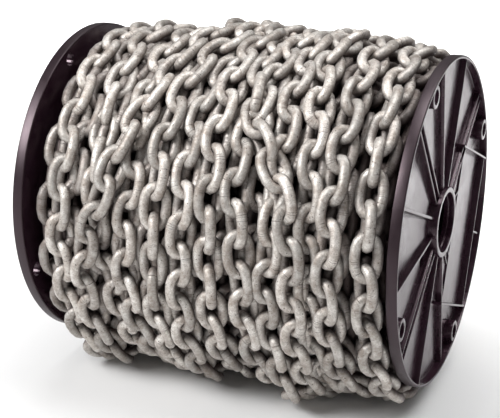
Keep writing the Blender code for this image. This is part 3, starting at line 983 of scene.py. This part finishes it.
class REEL_OT_spool(bpy.types.Operator):
    """Mould both flanges again with rounded edges, and finish the barrel"""
    bl_idname = "reel.spool"
    bl_label = "Mould the spool"

    def execute(self, context):
        _, plastic = finishes()
        mesh = flange_mesh(context.scene.reel_spool, plastic)
        turned_round = (Matrix.Rotation(math.radians(2 * BOSS_ANGLES[0]), 4, "X")
                        @ Matrix.Rotation(math.pi, 4, "Z") @ END_ON)
        for side, reach, pose in (("right", INNER_HALF, END_ON),
                                  ("left", -INNER_HALF, turned_round)):
            flange = mesh.copy()
            flange.transform(Matrix.Translation((reach, AXIS.y, AXIS.z)) @ pose)
            add_piece(f"spool_flange_{side}", flange, [f"flange_{side}"])
        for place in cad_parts["barrel"].material_slots:
            place.material = plastic
        return {"FINISHED"}


# The floor behind the reel, which the right flange mirrors towards the camera
BEHIND = (0.42, 0.60, 0.0)
# The lights, each with its place, target, size, watts and spread in degrees
LIGHTS = (
    ("key_light", (-1.05, -1.20, 1.45), tuple(AXIS), 0.90, 48.0, 180),
    ("top_light", (0.15, 0.10, 1.60), tuple(AXIS), 0.80, 12.0, 180),
    ("side_light", (1.50, -1.10, 0.70), tuple(AXIS), 0.90, 2.0, 180),
    ("floor_light", (0.95, 1.10, 1.30), BEHIND, 0.80, 4.2, 50),
    ("back_light", (-0.70, 1.60, 1.50), (-0.70, 1.60, 0.0), 1.20, 26.0, 100),
)
BACKDROP = 0.8                   # brightness of the world where the camera sees it
FLOOR_SIZE = 30.0
FLOOR_DROP = 0.0002              # keeps the floor clear of the chain that lies on it


class REEL_OT_stage(bpy.types.Operator):
    """Add the floor, the lights and the camera"""
    bl_idname = "reel.stage"
    bl_label = "Set the stage"

    def execute(self, context):
        settings = context.scene.reel_stage
        scene = context.scene
        builder = bmesh.new()
        bmesh.ops.create_grid(builder, x_segments=1, y_segments=1, size=FLOOR_SIZE)
        floor = add_object("studio_floor", finish_builder("studio_floor", builder))
        floor.location.z = -FLOOR_DROP
        material, tree, shader = start_material("pale_floor")
        set_inputs(tree, shader, {"Base Color": (*settings.floor, 1.0), "Roughness": 0.9,
                                  "Specular IOR Level": 0.1})
        floor.data.materials.append(material)

        world = bpy.data.worlds.new("studio")
        world.use_nodes = True
        tree = world.node_tree
        seen = add_node(tree, "ShaderNodeLightPath").outputs["Is Camera Ray"]
        strength = calculate(tree, "MULTIPLY_ADD", seen, BACKDROP - settings.fill, settings.fill)
        set_inputs(tree, tree.nodes["Background"],
                   {"Color": (1.0, 1.0, 1.0, 1.0), "Strength": strength})
        scene.world = world
        for name, place, target, size, power, spread in LIGHTS:
            lamp = bpy.data.lights.new(name, "AREA")
            lamp.size = size
            lamp.energy = power
            lamp.spread = math.radians(spread)
            light = add_object(name, lamp)
            light.location = place
            aim = Vector(target) - Vector(place)
            light.rotation_euler = aim.to_track_quat("-Z", "Y").to_euler()

        camera = add_object("camera", bpy.data.cameras.new("camera"))
        camera.data.lens = settings.lens
        camera.data.sensor_width = 36.0
        camera.data.sensor_fit = "HORIZONTAL"
        flat = math.cos(settings.elevation)
        away = Vector((math.sin(settings.azimuth) * flat, -math.cos(settings.azimuth) * flat,
                       math.sin(settings.elevation)))
        camera.location = Vector(settings.target) + away * settings.distance
        camera.rotation_euler = (-away).to_track_quat("-Z", "Y").to_euler()
        scene.camera = camera
        scene.view_settings.view_transform = "Standard"
        return {"FINISHED"}


class REEL_PT_panel(bpy.types.Panel):
    """Steps and sizes of the chain reel"""
    bl_idname = "REEL_PT_panel"
    bl_label = "Chain reel"
    bl_space_type = "VIEW_3D"
    bl_region_type = "UI"
    bl_category = "Reel"

    def draw(self, context):
        for settings, step in ((context.scene.reel_chain, "reel.chain"),
                               (context.scene.reel_spool, "reel.spool"),
                               (context.scene.reel_stage, "reel.stage")):
            box = self.layout.box()
            for name in settings.__annotations__:
                box.prop(settings, name)
            box.operator(step)


CLASSES = (ReelChainSettings, ReelSpoolSettings, ReelStageSettings, REEL_OT_chain,
           REEL_OT_spool, REEL_OT_stage, REEL_PT_panel)


def register():
    for item in CLASSES:
        bpy.utils.register_class(item)
    bpy.types.Scene.reel_chain = PointerProperty(type=ReelChainSettings)
    bpy.types.Scene.reel_spool = PointerProperty(type=ReelSpoolSettings)
    bpy.types.Scene.reel_stage = PointerProperty(type=ReelStageSettings)


def unregister():
    for name in ("reel_chain", "reel_spool", "reel_stage"):
        delattr(bpy.types.Scene, name)
    for item in reversed(CLASSES):
        bpy.utils.unregister_class(item)


def main():
    register()
    bpy.ops.reel.stage()
    bpy.ops.reel.chain()
    bpy.ops.reel.spool()


if __name__ == "__main__":
    main()
